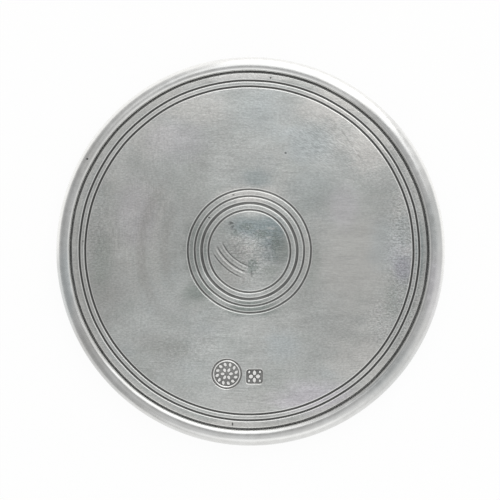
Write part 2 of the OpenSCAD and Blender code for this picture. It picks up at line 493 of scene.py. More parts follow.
class Tree:
    """A node tree that is filled node by node. Each method adds nodes and returns an output."""

    def __init__(self, tree):
        self.tree = tree
        self.count = 0

    def node(self, kind, inputs=None, **settings):
        node = self.tree.nodes.new(kind)
        column, row = divmod(self.count, NODES_A_COLUMN)
        node.location = (column * NODE_COLUMN, -row * NODE_ROW)
        self.count += 1
        for name, value in settings.items():
            setattr(node, name, value)
        for key, value in (inputs or {}).items():
            if isinstance(value, bpy.types.NodeSocket):
                self.tree.links.new(value, node.inputs[key])
            else:
                node.inputs[key].default_value = value
        return node

    def place(self):
        return self.node("ShaderNodeTexCoord").outputs["Object"]

    def maths(self, operation, a, b=0.0):
        return self.node("ShaderNodeMath", {0: a, 1: b}, operation=operation).outputs[0]

    def times(self, a, b):
        return self.maths("MULTIPLY", a, b)

    def plus(self, a, b):
        return self.maths("ADD", a, b)

    def minus(self, a, b):
        return self.maths("SUBTRACT", a, b)

    def most(self, a, b):
        return self.maths("MAXIMUM", a, b)

    def vector(self, operation, a, b=(0, 0, 0)):
        node = self.node("ShaderNodeVectorMath", {0: a, 1: b}, operation=operation)
        return node.outputs["Value" if operation in ("LENGTH", "DOT_PRODUCT") else "Vector"]

    def spread(self, value, low, high, to_low=0.0, to_high=1.0):
        """Maps low to high smoothly onto another range; low may lie above high."""
        inputs = {"Value": value, "From Min": low, "From Max": high}
        inputs.update({"To Min": to_low, "To Max": to_high})
        return self.node("ShaderNodeMapRange", inputs, interpolation_type="SMOOTHSTEP").outputs[0]

    def noise(self, vector, scale, detail=2.0, roughness=0.5, distortion=0.0):
        inputs = {"Vector": vector, "Scale": scale, "Detail": detail}
        inputs.update({"Roughness": roughness, "Distortion": distortion})
        return self.node("ShaderNodeTexNoise", inputs).outputs[0]

    def mix(self, factor, a, b, blend="MIX"):
        inputs = {0: factor, 6: rgba(a), 7: rgba(b)}
        return self.node("ShaderNodeMix", inputs, data_type="RGBA", blend_type=blend).outputs[2]

    def covered(self, tone, cover, mask, strength):
        """A colour covered by another as far as a mask and a strength say."""
        return self.mix(self.times(mask, strength), tone, cover)

    def blend(self, factor, a, b):
        """A value between two values."""
        return self.node("ShaderNodeMix", {0: factor, 2: a, 3: b}, data_type="FLOAT").outputs[0]

    def tinted(self, tone, value):
        """A colour made lighter or darker by a value round 1."""
        grey = self.node("ShaderNodeCombineColor", {0: value, 1: value, 2: value}).outputs[0]
        return self.mix(1.0, tone, grey, "MULTIPLY")

    def bump(self, height, strength, distance, normal=None):
        inputs = {"Height": height, "Strength": strength, "Distance": distance}
        if normal is not None:
            inputs["Normal"] = normal
        return self.node("ShaderNodeBump", inputs).outputs["Normal"]

    def group(self, name, inputs):
        node = self.node("ShaderNodeGroup", inputs, node_tree=bpy.data.node_groups[name])
        return node.outputs[0]


def rgba(value):
    """A colour with its alpha; a socket is passed on as it is."""
    if isinstance(value, bpy.types.NodeSocket):
        return value
    return (*value[:3], 1.0)


def group_tree(name, inputs, output):
    """A node group with named inputs and one output, and the outputs of its input node."""
    tree = bpy.data.node_groups.new(name, "ShaderNodeTree")
    for socket_name, value in inputs.items():
        kind = "NodeSocketFloat" if isinstance(value, (int, float)) else "NodeSocketVector"
        socket = tree.interface.new_socket(socket_name, in_out="INPUT", socket_type=kind)
        socket.default_value = value
    tree.interface.new_socket(output, in_out="OUTPUT", socket_type="NodeSocketFloat")
    filled = Tree(tree)
    return filled, filled.node("NodeGroupInput").outputs


def close_group(filled, value):
    filled.node("NodeGroupOutput", {0: value})


def make_grain_group():
    """Brushing: noise drawn out along the grain, as a value from 0 to 1."""
    inputs = {"Grain size": (0.016, 0.0004, 0.01), "Turn": 0.0}
    filled, given = group_tree("Brushed grain", inputs, "Streak")
    swung = filled.node(
        "ShaderNodeVectorRotate",
        {"Vector": filled.place(), "Angle": given["Turn"]},
        rotation_type="Z_AXIS",
    ).outputs[0]
    drawn_out = filled.vector("DIVIDE", swung, given["Grain size"])
    streak = filled.noise(drawn_out, 1.0, 3.0, 0.62)
    close_group(filled, filled.spread(streak, 0.3, 0.7))


def make_cloud_group():
    """Soft clouds of one size that cover a share of the surface."""
    inputs = {"Size": 0.02, "Cover": 0.5, "Edge": 0.12, "Shift": (0.0, 0.0, 0.0)}
    filled, given = group_tree("Oxide cloud", inputs, "Mask")
    moved = filled.vector("ADD", filled.place(), given["Shift"])
    scale = filled.maths("DIVIDE", 1.0, given["Size"])
    cloud = filled.noise(moved, scale, 4.0, 0.55, 0.4)
    level = filled.minus(1.0, given["Cover"])
    low = filled.minus(level, given["Edge"])
    high = filled.plus(level, given["Edge"])
    close_group(filled, filled.spread(cloud, low, high))


def make_stain_group():
    """A ragged stain round a place."""
    inputs = {
        "Centre": (0.0, 0.0, 0.0), "Reach": (0.01, 0.01, 1.0), "Ragged": 0.5, "Fineness": 230.0
    }
    filled, given = group_tree("Stain", inputs, "Mask")
    place = filled.place()
    away = filled.vector("SUBTRACT", place, given["Centre"])
    distance = filled.vector("LENGTH", filled.vector("DIVIDE", away, given["Reach"]))
    drawn_out = filled.vector("MULTIPLY", place, (0.6, 1.3, 1.0))
    rough = filled.minus(filled.noise(drawn_out, given["Fineness"], 6.0, 0.7), 0.5)
    ragged = filled.times(rough, given["Ragged"])
    close_group(filled, filled.spread(filled.plus(distance, ragged), 1.05, 0.3))


def make_recess_group():
    """Oxide that settles below a level: 0 at the first depth, 1 at the second."""
    inputs = {"Level": 0.0, "From depth": 0.0001, "To depth": 0.0003, "Patchy": 0.3}
    filled, given = group_tree("Recess tarnish", inputs, "Mask")
    place = filled.place()
    height = filled.node("ShaderNodeSeparateXYZ", {0: place}).outputs["Z"]
    depth = filled.minus(given["Level"], height)
    settled = filled.spread(depth, given["From depth"], given["To depth"])
    thinned = filled.times(filled.noise(place, 220.0, 3.0), given["Patchy"])
    close_group(filled, filled.times(settled, filled.minus(1.0, thinned)))


def make_band_group():
    """A turned band between two radii round a middle."""
    inputs = {"Middle": (0.0, 0.0, 0.0), "Inner": 0.01, "Outer": 0.02, "Soft": 0.0005}
    filled, given = group_tree("Turned band", inputs, "Mask")
    away = filled.vector("SUBTRACT", filled.place(), given["Middle"])
    flat = filled.vector("MULTIPLY", away, (1.0, 1.0, 0.0))
    r = filled.vector("LENGTH", flat)
    past = filled.spread(
        r,
        filled.minus(given["Inner"], given["Soft"]),
        filled.plus(given["Inner"], given["Soft"]),
    )
    short = filled.spread(
        r,
        filled.plus(given["Outer"], given["Soft"]),
        filled.minus(given["Outer"], given["Soft"]),
    )
    close_group(filled, filled.times(past, short))


def make_scratch_group():
    """A straight scratch from one place to another."""
    inputs = {"From": (0.0, 0.0, 0.0), "To": (0.01, 0.0, 0.0), "Width": 0.0003}
    filled, given = group_tree("Scratch", inputs, "Mask")
    flat = filled.vector("MULTIPLY", filled.place(), (1.0, 1.0, 0.0))
    along = filled.vector("SUBTRACT", given["To"], given["From"])
    away = filled.vector("SUBTRACT", flat, given["From"])
    reach = filled.maths(
        "DIVIDE",
        filled.vector("DOT_PRODUCT", away, along),
        filled.vector("DOT_PRODUCT", along, along),
    )
    held = filled.node("ShaderNodeClamp", {0: reach}).outputs[0]
    foot = filled.node("ShaderNodeVectorMath", {0: along, "Scale": held}, operation="SCALE").outputs[0]
    distance = filled.vector("LENGTH", filled.vector("SUBTRACT", away, foot))
    close_group(filled, filled.spread(distance, given["Width"], 0.0))


GROUP_MAKERS = (
    make_grain_group,
    make_cloud_group,
    make_stain_group,
    make_recess_group,
    make_band_group,
    make_scratch_group,
)


def finish_groups():
    """Builds the shared finishes once."""
    if "Brushed grain" not in bpy.data.node_groups:
        for make in GROUP_MAKERS:
            make()


def new_material(name):
    """A material with a Principled shader, and its node tree."""
    finish_groups()
    material = bpy.data.materials.new(name)
    material.use_nodes = True
    material.node_tree.nodes.clear()
    filled = Tree(material.node_tree)
    shader = filled.node("ShaderNodeBsdfPrincipled")
    filled.node("ShaderNodeOutputMaterial", {"Surface": shader.outputs[0]})
    return material, filled, shader


def set_inputs(filled, shader, **values):
    """Links or sets the named inputs of a shader."""
    for name, value in values.items():
        socket = shader.inputs[name.replace("_", " ").title().replace("Ior", "IOR")]
        if isinstance(value, bpy.types.NodeSocket):
            filled.tree.links.new(value, socket)
        else:
            socket.default_value = value


# Clouds on the plate: colour, place and reach in millimetres from the rings' middle, and strength.
# The lighter rows are partly worn pewter and partly painted light; the ones marked below are painted light.
CLOUDS = (
    # Painted light: lighter towards the front, where the front light falls
    ("worn_pewter_and_sheen", (4, -50), (30, 7), 0.2),
    ("worn_pewter_and_sheen", (-16, 47), (14, 8), 0.55),
    ("worn_pewter_and_sheen", (-32, 37), (14, 9), 0.5),
    ("worn_pewter_and_sheen", (-43, 27), (7, 10), 0.35),
    ("worn_pewter_and_sheen", (-37, 17), (12, 12), 0.2),
    ("worn_pewter_and_sheen", (-38, 0), (13, 22), 0.2),
    ("worn_pewter_and_sheen", (27, 47), (15, 8), 0.9),
    ("worn_pewter_and_sheen", (39, 34), (9, 13), 0.9),
    ("worn_pewter_and_sheen", (32, 38), (10, 8), 0.5),
    # Painted light: lighter at the right, where more light comes from
    ("worn_pewter_and_sheen", (34, -2), (19, 26), 0.5),
    ("worn_pewter_and_sheen", (36, -36), (14, 13), 0.5),
    ("worn_pewter_and_sheen", (24, -51), (12, 6), 0.4),
    ("lilac_pewter", (22, -48), (18, 7), 0.7),
    ("lilac_pewter", (49, -2), (5, 8), 0.5),
    ("lilac_pewter", (-24, 36), (13, 9), 0.3),
    ("lilac_pewter", (-37, 12), (9, 15), 0.35),
    ("lilac_pewter", (31, 14), (7, 9), 0.35),
    ("worn_pewter_and_sheen", (50, 8), (6, 16), 0.4),
    ("worn_pewter_and_sheen", (0, 18.6), (13, 4), 0.8),
    ("warm_oxide", (-5, -5), (9, 12), 0.4),
    ("warm_oxide", (-50, -4), (12, 30), 0.3),
    ("warm_oxide", (-34, 6), (12, 26), 0.15),
    ("warm_oxide", (-31, -30), (10, 5), 0.25),
    ("warm_oxide", (-24, -32.5), (8, 3.5), 0.25),
    ("dark_oxide", (-27, -31.5), (10, 4), 0.2),
    ("cool_pewter", (3, 46), (14, 12), 0.3),
    ("cool_oxide", (3, 45), (7, 7), 0.15),
    ("cool_pewter", (19, 35), (11, 9), 0.5),
    ("cool_oxide", (19, 35), (9, 8), 0.15),
    ("cool_oxide", (2, 24), (11, 7), 0.12),
    ("cool_pewter", (11, -31), (8, 7), 0.5),
    ("cool_oxide", (10, -30), (5, 4), 0.15),
    ("cool_pewter", (45, 2), (8, 12), 0.5),
    ("cool_oxide", (2.5, 23.5), (6, 4), 0.5),
    ("cool_oxide", (20, 20), (11, 10), 0.3),
    ("cool_oxide", (51, 7), (4, 8), 0.3),
    ("cool_oxide", (50, -5.6), (4, 7), 0.35),
    ("dark_lilac", (50, -6), (4, 5.5), 0.4),
    ("cool_oxide", (1, 8), (10, 5), 0.9),
    ("cool_oxide", (7, 6), (6, 7), 1.0),
    ("dark_oxide", (10.5, 0), (4, 7), 0.55),
    ("dark_oxide", (-16.8, 1), (5.5, 14), 0.6),
    ("dark_oxide", (-16.5, -13), (6, 4.5), 0.65),
    ("dark_oxide", (1, -18.5), (12, 4), 0.75),
    ("green_oxide", (20.3, -3.6), (4.5, 11), 0.3),
    ("green_oxide", (46, -17), (3, 7), 0.25),
    ("worn_pewter_and_sheen", (42, -22), (7, 10), 0.3),
    ("worn_pewter_and_sheen", (41, -36), (9, 9), 0.45),
    ("worn_pewter_and_sheen", (18.6, 0), (2, 9), 0.4),
    ("dark_oxide", (0, -19), (9, 3), 0.45),
    ("cool_oxide", (57, 0), (4, 14), 0.45),
    ("dark_oxide", (57, 0), (3.5, 13), 0.25),
    # Painted highlight on the plate's rounded back edge
    ("rubbed_edge_and_highlight", (-2, 56.8), (17, 2.0), 0.5),
    ("worn_pewter_and_sheen", (-28, 50), (12, 7), 0.4),
    # Painted highlight on the plate's rounded front edge
    ("worn_pewter_and_sheen", (-6, -57.5), (26, 3.2), 0.7),
    ("green_oxide", (-48, -4), (5, 12), 0.4),
    ("green_oxide", (-17, -14), (8, 6), 0.25),
)

# Small crisp smudges inside the middle rings, given as the clouds are
SMUDGES = (
    ("cool_oxide", (0.8, 7.4), (5.4, 2.8), 0.7),
    ("dark_oxide", (-0.7, 7.8), (2.8, 1.7), 0.65),
    ("dark_oxide", (3.8, 5.6), (3.2, 2.1), 0.75),
    ("dark_oxide", (8.4, 2.6), (1.8, 5.2), 0.65),
    ("cool_oxide", (6.6, -1.4), (3.4, 3.2), 0.5),
    ("green_oxide", (6.6, -6.4), (4.6, 2.2), 0.4),
    ("worn_pewter_and_sheen", (6.9, 7.5), (1.7, 0.7), 0.4),
    ("worn_pewter_and_sheen", (6.2, 4.4), (1.5, 0.6), 0.45),
    ("worn_pewter_and_sheen", (-1.0, 0.6), (2.8, 2.0), 0.5),
    ("worn_pewter_and_sheen", (-4.6, 3.6), (2.6, 1.8), 0.3),
    ("worn_pewter_and_sheen", (2.7, -3.0), (0.7, 0.8), 0.9),
    ("dark_oxide", (1.4, -3.6), (1.6, 1.3), 0.6),
    ("dark_oxide", (0.9, -5.2), (2.6, 2.6), 0.8),
    ("tarnish", (0.8, -7.2), (0.6, 1.3), 0.5),
    ("tarnish", (-6.1, 9.1), (0.9, 0.9), 0.6),
    ("tarnish", (-5.5, 7.9), (0.7, 1.1), 0.55),
    ("dark_oxide", (-4.6, 6.2), (1.0, 1.8), 0.6),
)

# Parts of the plate where the brushing is livelier: place, reach and strength, as for the clouds
LIVELY = (
    ((24, 38), (17, 12), 0.45),
    ((37, 30), (12, 12), 0.4),
    ((51, -8), (8, 46), 1.3),
    ((45, -24), (8, 12), 1.0),
    ((-50, 12), (6, 28), 0.5),
    ((-20, -33), (12, 7), 0.4),
    ((0, 0), (12.6, 12.6), 1.3),
)

# A calm part, the part that is brushed upright and the one that is brushed aslant: place and reach
CALM_PART = ((33, 1), (15, 28))
UPRIGHT_PART = ((-38, 8), (30, 52))
SLANTING_PART = ((26, 36), (20, 17))

# How noise is drawn out along the brushing
DRAWN_OUT = (0.6, 1.2, 1.0)

# Bands of the face: inner and outer radius and softness
# Wear and painted highlight on the plate's rounded edge
WORN_EDGE_AND_HIGHLIGHT = (56.8, 57.7, 0.3)
BORDER_BAND = (50.0, 57.0, 0.5)
EDGE_BAND = (57.0, 60.0, 0.2)
MIDDLE_BAND = (0.0, 24.0, 1.0)

# Places and reaches of the two marks
MARK_PLACES = (((-7.0, -40.0), (9, 9)), ((2.1, -40.9), (6, 6)))

# Scratches: colour, both ends in millimetres from the rings' middle, width and strength; the bright one is
# a painted highlight along the dark one
SCRATCHES = (
    ("tarnish", (30.2, 39.4), (36.3, 30.2), 0.36, 0.22),
    ("rubbed_edge_and_highlight", (33.8, 33.8), (35.2, 31.8), 0.36, 0.6),
)

# Clouds on the bead, given as the plate's are, from the rim's middle; the two bright rows at the back are
# painted highlights where the bead faces the light
BEAD_CLOUDS_AND_HIGHLIGHTS = (
    ("cool_oxide", (60, 12), (4, 20), 0.25),
    ("lilac_pewter", (60, -14), (4, 18), 0.4),
    ("cool_oxide", (46, -39), (14, 14), 0.25),
    ("warm_oxide", (-52, -31), (12, 12), 0.35),
    ("cool_pewter", (-60.5, -12), (4, 20), 0.6),
    ("rubbed_edge_and_highlight", (-43, 47), (22, 14), 0.25),
    ("rubbed_edge_and_highlight", (29.9, 51.8), (14, 8), 0.3),
    ("worn_pewter_and_sheen", (-53.4, 30.8), (7, 12), 0.35),
)

# Bands round the rim's middle: inner and outer radius and softness, in millimetres. The first two carry
# painted reflection on the bead's outer side, partly rubbed wear, and the third a painted highlight on its
# inner shoulder
PAINTED_REFLECTION_SIDE = (61.6, 70.0, 0.7)
PAINTED_REFLECTION_RIGHT = (62.5, 70.0, 0.5)
PAINTED_HIGHLIGHT_SHOULDER = (58.7, 59.2, 0.2)
SEAM_BAND = (50.0, 60.5, 0.3)

# Where the bead's outer side has less painted reflection and wear: middle, reach and the share that is left
LESS_PAINTED_REFLECTION = (
    ((30, -70), 130, 0.42),
    ((65, 18), 40, 0.65),
    ((-62, -28), 35, 0.4),
)

# Where its outermost edge carries the painted reflection all the same, and a dark pit in it: place and
# reach
PAINTED_REFLECTION_PART = ((62, 18), (50, 50))
BEAD_PIT = ((-53.2, 30.1), (0.5, 0.4))

# Dark pits in the plate: place and reach in millimetres from the rings' middle, and strength
PITS = (
    ((11.8, 32.0), (0.6, 0.4), 0.8),
    ((6.9, 56.5), (0.4, 0.5), 0.9),
    ((-5.5, -56.5), (0.3, 0.7), 0.9),
    ((-54.3, 3.2), (0.35, 0.6), 0.8),
    ((-13.2, 10.9), (0.5, 0.4), 0.9),
    ((-5.3, 18.3), (0.5, 0.35), 0.7),
)

# Lines that a loose tool left inside the rings: their middle, place and reach of the part that
# shows, then colour, radius, half width and strength of each; lengths in millimetres. The bright
# lines are painted highlights beside the dark ones.
LOOSE_MIDDLE = (4.3, 8.8)
LOOSE_SHOWN = ((-6.3, -3.4), (7.6, 7.6))
LOOSE_LINES = (
    ("tarnish", 14.42, 0.26, 1.0),
    ("rubbed_edge_and_highlight", 14.9, 0.18, 0.75),
    ("tarnish", 15.4, 0.12, 0.3),
    ("rubbed_edge_and_highlight", 15.9, 0.14, 0.5),
    ("tarnish", 16.5, 0.30, 1.0),
    ("rubbed_edge_and_highlight", 17.15, 0.28, 1.0),
    ("tarnish", 17.75, 0.12, 0.4),
    ("rubbed_edge_and_highlight", 18.2, 0.14, 0.4),
    ("tarnish", 18.68, 0.26, 1.0),
    ("rubbed_edge_and_highlight", 19.15, 0.12, 0.4),
)

# Faint bands of painted sheen at the left, lighter and darker where the lathe's lines catch the light:
# place and reach of the part that shows, then colour, inner and outer radius and strength of each
LEFT_SHEEN_PART = ((-33, 2), (17, 30))
LEFT_SHEEN_BANDS = (
    ("warm_oxide", 26.5, 29.0, 0.3),
    ("worn_pewter_and_sheen", 30.0, 32.5, 0.2),
    ("warm_oxide", 34.0, 37.0, 0.35),
    ("worn_pewter_and_sheen", 39.0, 40.5, 0.15),
)


class Masks:
    """Masks on a piece, placed in millimetres from a middle."""

    def __init__(self, filled, face_z, left=0.0, back=0.0):
        self.filled = filled
        self.face_z = face_z
        self.left = left
        self.back = back

    def at(self, place):
        return (place[0] * MM - self.left, place[1] * MM + self.back, 0.0)

    def spot(self, place, reach, ragged=0.5, fineness=230.0):
        inputs = {"Centre": self.at(place), "Reach": (reach[0] * MM, reach[1] * MM, 1.0)}
        inputs.update({"Ragged": ragged, "Fineness": fineness})
        return self.filled.group("Stain", inputs)

    def band(self, inner, outer, soft, place=(0, 0)):
        inputs = {"Middle": self.at(place), "Inner": inner * MM, "Outer": outer * MM}
        inputs["Soft"] = soft * MM
        return self.filled.group("Turned band", inputs)

    def settled(self, shallow, deep, patchy=0.3):
        inputs = {"Level": self.face_z, "From depth": shallow * MM, "To depth": deep * MM}
        inputs["Patchy"] = patchy
        return self.filled.group("Recess tarnish", inputs)

    def scratch(self, start, end, width):
        inputs = {"From": self.at(start), "To": self.at(end), "Width": width * MM}
        return self.filled.group("Scratch", inputs)


def clouded(filled, masks, finish):
    """The plate's colour: pewter under drifting oxide, with placed clouds and lighter patches that are
    partly painted light, painted sheen bands at the left and a worn, painted highlight on the edge.
    """
    warm = filled.group("Oxide cloud", {"Size": 0.022, "Cover": 0.5, "Edge": 0.2})
    green = filled.group(
        "Oxide cloud", {"Size": 0.009, "Cover": 0.45, "Edge": 0.15, "Shift": (0.3, 0.1, 0.0)}
    )
    cool = filled.group(
        "Oxide cloud", {"Size": 0.012, "Cover": 0.35, "Edge": 0.12, "Shift": (0.7, 0.4, 0.0)}
    )
    tone = filled.covered(finish.pewter, finish.warm_oxide, warm, 0.3)
    tone = filled.covered(tone, finish.green_oxide, green, 0.2)
    tone = filled.covered(tone, finish.cool_pewter, cool, 0.3)
    for tint, place, reach, strength in CLOUDS:
        tone = filled.covered(tone, getattr(finish, tint), masks.spot(place, reach, 0.9), strength)
    # Painted sheen: light and dark bands at the left
    at_left = masks.spot(*LEFT_SHEEN_PART, 0.8)
    for tint, inner, outer, strength in LEFT_SHEEN_BANDS:
        mask = filled.times(masks.band(inner, outer, 0.9), at_left)
        tone = filled.covered(tone, getattr(finish, tint), mask, strength)
    # Wear and a painted highlight along the plate's rounded edge
    tone = filled.covered(tone, finish.worn_pewter_and_sheen, masks.band(*WORN_EDGE_AND_HIGHLIGHT), 0.4)
    for tint, place, reach, strength in SMUDGES:
        mask = masks.spot(place, reach, 2.6, 1100.0)
        tone = filled.covered(tone, getattr(finish, tint), mask, strength)
    return tone


def liveliness(filled, masks):
    """How strong the fine brushing is: about 1, more in the lively parts and less in a calm one."""
    most = 0.0
    for place, reach, strength in LIVELY:
        most = filled.most(filled.times(masks.spot(place, reach, 0.6), strength), most)
    raised = filled.plus(1.0, filled.times(most, 1.1))
    calm = filled.times(masks.spot(*CALM_PART, 0.5), 0.6)
    return filled.times(raised, filled.minus(1.0, calm))


def scored(filled, masks, tone, finish):
    """Adds the loose tool's lines, scratches and pits. Returns the colour and how hollow it is."""
    shown = filled.spread(masks.spot(*LOOSE_SHOWN, 0.2), 0.0, 0.6)
    hollow = 0.0
    for tint, radius, half, strength in LOOSE_LINES:
        line = masks.band(radius - half / 2, radius + half / 2, half / 2 + 0.06, LOOSE_MIDDLE)
        mask = filled.times(filled.times(line, shown), strength)
        tone = filled.mix(mask, tone, getattr(finish, tint))
        if tint == "tarnish":
            hollow = filled.most(mask, hollow)
    for tint, start, end, width, strength in SCRATCHES:
        mask = masks.scratch(start, end, width)
        tone = filled.covered(tone, getattr(finish, tint), mask, strength)
    for place, reach, strength in PITS:
        mask = filled.times(masks.spot(place, reach, 0.9), strength)
        tone = filled.mix(mask, tone, finish.tarnish)
        hollow = filled.most(mask, hollow)
    return tone, hollow


def brushed(filled, masks, tone, finish, grain, mottle):
    """Breaks a colour up with fine flecks, speckle, patina and grain. Returns it and the
    liveliness."""
    life = liveliness(filled, masks)
    flecks = filled.noise(filled.place(), 1500.0, 4.0, 0.7)
    bluish = filled.times(filled.spread(flecks, 0.50, 0.62), 0.15)
    tone = filled.mix(filled.times(bluish, life), tone, finish.cool_pewter)
    pinkish = filled.times(filled.spread(flecks, 0.46, 0.34), 0.2)
    tone = filled.mix(filled.times(pinkish, life), tone, finish.lilac_pewter)
    speckle = filled.times(filled.spread(mottle, 0.0, 1.0, -0.15, 0.15), life)
    tone = filled.tinted(tone, filled.plus(1.0, speckle))
    drawn_out = filled.vector("MULTIPLY", filled.place(), DRAWN_OUT)
    patina = filled.noise(drawn_out, 110.0, 6.0, 0.66)
    tone = filled.tinted(tone, filled.spread(patina, 0.3, 0.7, 0.93, 1.07))
    parts = filled.group("Oxide cloud", {"Size": 0.016, "Cover": 0.5, "Shift": (0.1, 0.2, 0.0)})
    shade = filled.times(filled.minus(grain, 0.5), parts)
    return filled.tinted(tone, filled.plus(1.0, filled.times(shade, 0.16))), life


def lip_highlights_and_tarnish(filled, masks, tone, finish):
    """Paints highlights, partly rubbed wear, on the lips of rings and marks and on raised burrs, and
    darkens their ground. Returns the colour and how dark the recesses are."""
    in_rings = filled.blend(
        masks.band(*BORDER_BAND), masks.settled(0.05, 0.13), masks.settled(0.04, 0.11, 0.05)
    )
    in_rings = filled.times(in_rings, finish.recess_share)
    in_seam = filled.times(masks.settled(0.14, 0.38), finish.seam_share)
    in_grooves = filled.blend(masks.band(*EDGE_BAND), in_rings, in_seam)
    in_marks = filled.times(masks.settled(0.14, 0.32, 0.35), finish.mark_share)
    near_marks = 0.0
    for place, reach in MARK_PLACES:
        near_marks = filled.most(masks.spot(place, reach, 0.0), near_marks)
    near_marks = filled.spread(near_marks, 0.0, 0.2)
    recess = filled.blend(near_marks, in_grooves, in_marks)
    # Painted highlights, partly rubbed wear, on the lips of rings and marks and on raised burrs
    middle_lips = filled.times(masks.band(*MIDDLE_BAND), -0.25)
    lip_highlight_share = filled.plus(middle_lips, finish.lip_highlight_share)
    lip_highlight_share = filled.blend(near_marks, lip_highlight_share, 0.9)
    lips = filled.times(masks.settled(0.0, 0.03, 0.1), lip_highlight_share)
    burr = filled.times(masks.settled(-0.001, -0.008, 0.1), 0.8)
    tone = filled.mix(filled.most(lips, burr), tone, finish.rubbed_edge_and_highlight)
    return filled.mix(recess, tone, finish.tarnish), recess


def plate_pewter(levels, finish, hand):
    """Brushed pewter with oxide clouds, painted light patches, pits, painted highlights on the lips and
    tarnished recesses.
    """
    material, filled, shader = new_material("plate pewter")
    masks = Masks(filled, levels.face_z, hand.set_left, hand.set_back - hand.middle_front)
    along = filled.group("Brushed grain", {"Grain size": (0.0035, 0.0003, 0.01)})
    across = filled.group("Brushed grain", {"Grain size": (0.0003, 0.003, 0.01)})
    slanting = filled.group(
        "Brushed grain", {"Grain size": (0.0011, 0.00026, 0.01), "Turn": math.radians(25)}
    )
    grain = filled.blend(masks.spot(*UPRIGHT_PART, 0.6), along, across)
    drawn_out = filled.vector("MULTIPLY", filled.place(), DRAWN_OUT)
    mottle = filled.spread(filled.noise(drawn_out, 1800.0, 5.0, 0.8), 0.3, 0.7)
    at_back = filled.times(masks.spot(*SLANTING_PART, 0.6), 0.8)
    mottle = filled.blend(at_back, mottle, slanting)

    tone = clouded(filled, masks, finish)
    tone, life = brushed(filled, masks, tone, finish, grain, mottle)
    tone, hollow = scored(filled, masks, tone, finish)
    tone, recess = lip_highlights_and_tarnish(filled, masks, tone, finish)
    roughness = filled.spread(grain, 0.0, 1.0, 0.30, 0.38)
    roughness = filled.plus(roughness, filled.times(recess, 0.25))
    normal = filled.bump(grain, 0.1, 0.00001)
    normal = filled.bump(mottle, filled.times(life, 0.3), 0.00001, normal)
    normal = filled.bump(filled.minus(1.0, hollow), 0.8, 0.00006, normal)
    outwards = filled.vector("MULTIPLY", filled.place(), (1.0, 1.0, 0.0))
    set_inputs(filled, shader, base_color=tone, metallic=1.0, roughness=roughness, normal=normal)
    set_inputs(filled, shader, anisotropic=finish.turned_share, tangent=outwards)
    return material


def rim_pewter(levels, finish, hand):
    """Pewter of the bead with painted reflection on its outer side and a painted highlight on its inner
    shoulder, partly rubbed wear; tarnished low in the seam.
    """
    material, filled, shader = new_material("rim pewter")
    masks = Masks(filled, levels.face_z)
    left = -hand.set_left / MM
    back = hand.set_back / MM
    mottle = filled.noise(filled.place(), 500.0, 4.0, 0.6)
    cloud = filled.group("Oxide cloud", {"Size": 0.010, "Cover": 0.45, "Edge": 0.2})
    tone = filled.covered(finish.rim_pewter, finish.warm_oxide, cloud, 0.3)
    for tint, place, reach, strength in BEAD_CLOUDS_AND_HIGHLIGHTS:
        tone = filled.covered(tone, getattr(finish, tint), masks.spot(place, reach, 0.6), strength)
    # Painted reflection on the bead's outer side and painted highlight on its inner shoulder, partly rubbed
    # wear
    rubbed = masks.band(*PAINTED_REFLECTION_SIDE, (1.5 * left, 0.7 * back))
    for place, reach, share_kept in LESS_PAINTED_REFLECTION:
        kept = filled.spread(masks.spot(place, (reach, reach), 0.1), 0.0, 0.55, 1.0, share_kept)
        rubbed = filled.times(rubbed, kept)
    at_right = filled.times(masks.band(*PAINTED_REFLECTION_RIGHT), masks.spot(*PAINTED_REFLECTION_PART, 0.1))
    shoulder = filled.times(masks.band(*PAINTED_HIGHLIGHT_SHOULDER, (left, back)), 0.7)
    rubbed = filled.most(filled.most(rubbed, at_right), shoulder)
    tone = filled.mix(rubbed, tone, finish.rubbed_edge_and_highlight)
    tone = filled.mix(masks.spot(*BEAD_PIT), tone, finish.tarnish)
    low = filled.times(masks.band(*SEAM_BAND), masks.settled(0.0, 0.4, 0.2))
    dark = filled.times(low, finish.seam_share)
    tone = filled.mix(dark, tone, finish.tarnish)
    tone = filled.tinted(tone, filled.spread(mottle, 0.3, 0.7, 0.96, 1.04))
    roughness = filled.spread(mottle, 0.3, 0.7, 0.22, 0.30)
    roughness = filled.plus(roughness, filled.times(dark, 0.4))
    normal = filled.bump(mottle, 0.2, 0.00002)
    set_inputs(filled, shader, base_color=tone, metallic=1.0, roughness=roughness, normal=normal)
    return material


def dull_solder(finish):
    """Dull, slightly lumpy soft solder."""
    material, filled, shader = new_material("dull solder")
    lumps = filled.noise(filled.place(), 900.0, 4.0, 0.6)
    cloud = filled.group("Oxide cloud", {"Size": 0.006, "Cover": 0.5, "Edge": 0.2})
    tone = filled.covered(finish.solder, finish.warm_oxide, cloud, 0.6)
    roughness = filled.spread(lumps, 0.3, 0.7, 0.38, 0.52)
    normal = filled.bump(lumps, 0.6, 0.00006)
    set_inputs(filled, shader, base_color=tone, metallic=1.0, roughness=roughness, normal=normal)
    return material


def amber_film(finish):
    """Amber adhesive with cloudy and bubbled places."""
    material, filled, shader = new_material("amber adhesive")
    place = filled.place()
    cloud = filled.group("Oxide cloud", {"Size": 0.004, "Cover": 0.5, "Edge": 0.2})
    tone = filled.covered(finish.adhesive, finish.cork_light, cloud, 0.4)
    bubbles = filled.node("ShaderNodeTexVoronoi", {"Vector": place, "Scale": 1200.0}).outputs[0]
    roughness = filled.spread(bubbles, 0.0, 0.5, 0.42, 0.28)
    normal = filled.bump(bubbles, 0.4, 0.00004)
    set_inputs(filled, shader, base_color=tone, roughness=roughness, normal=normal)
    return material


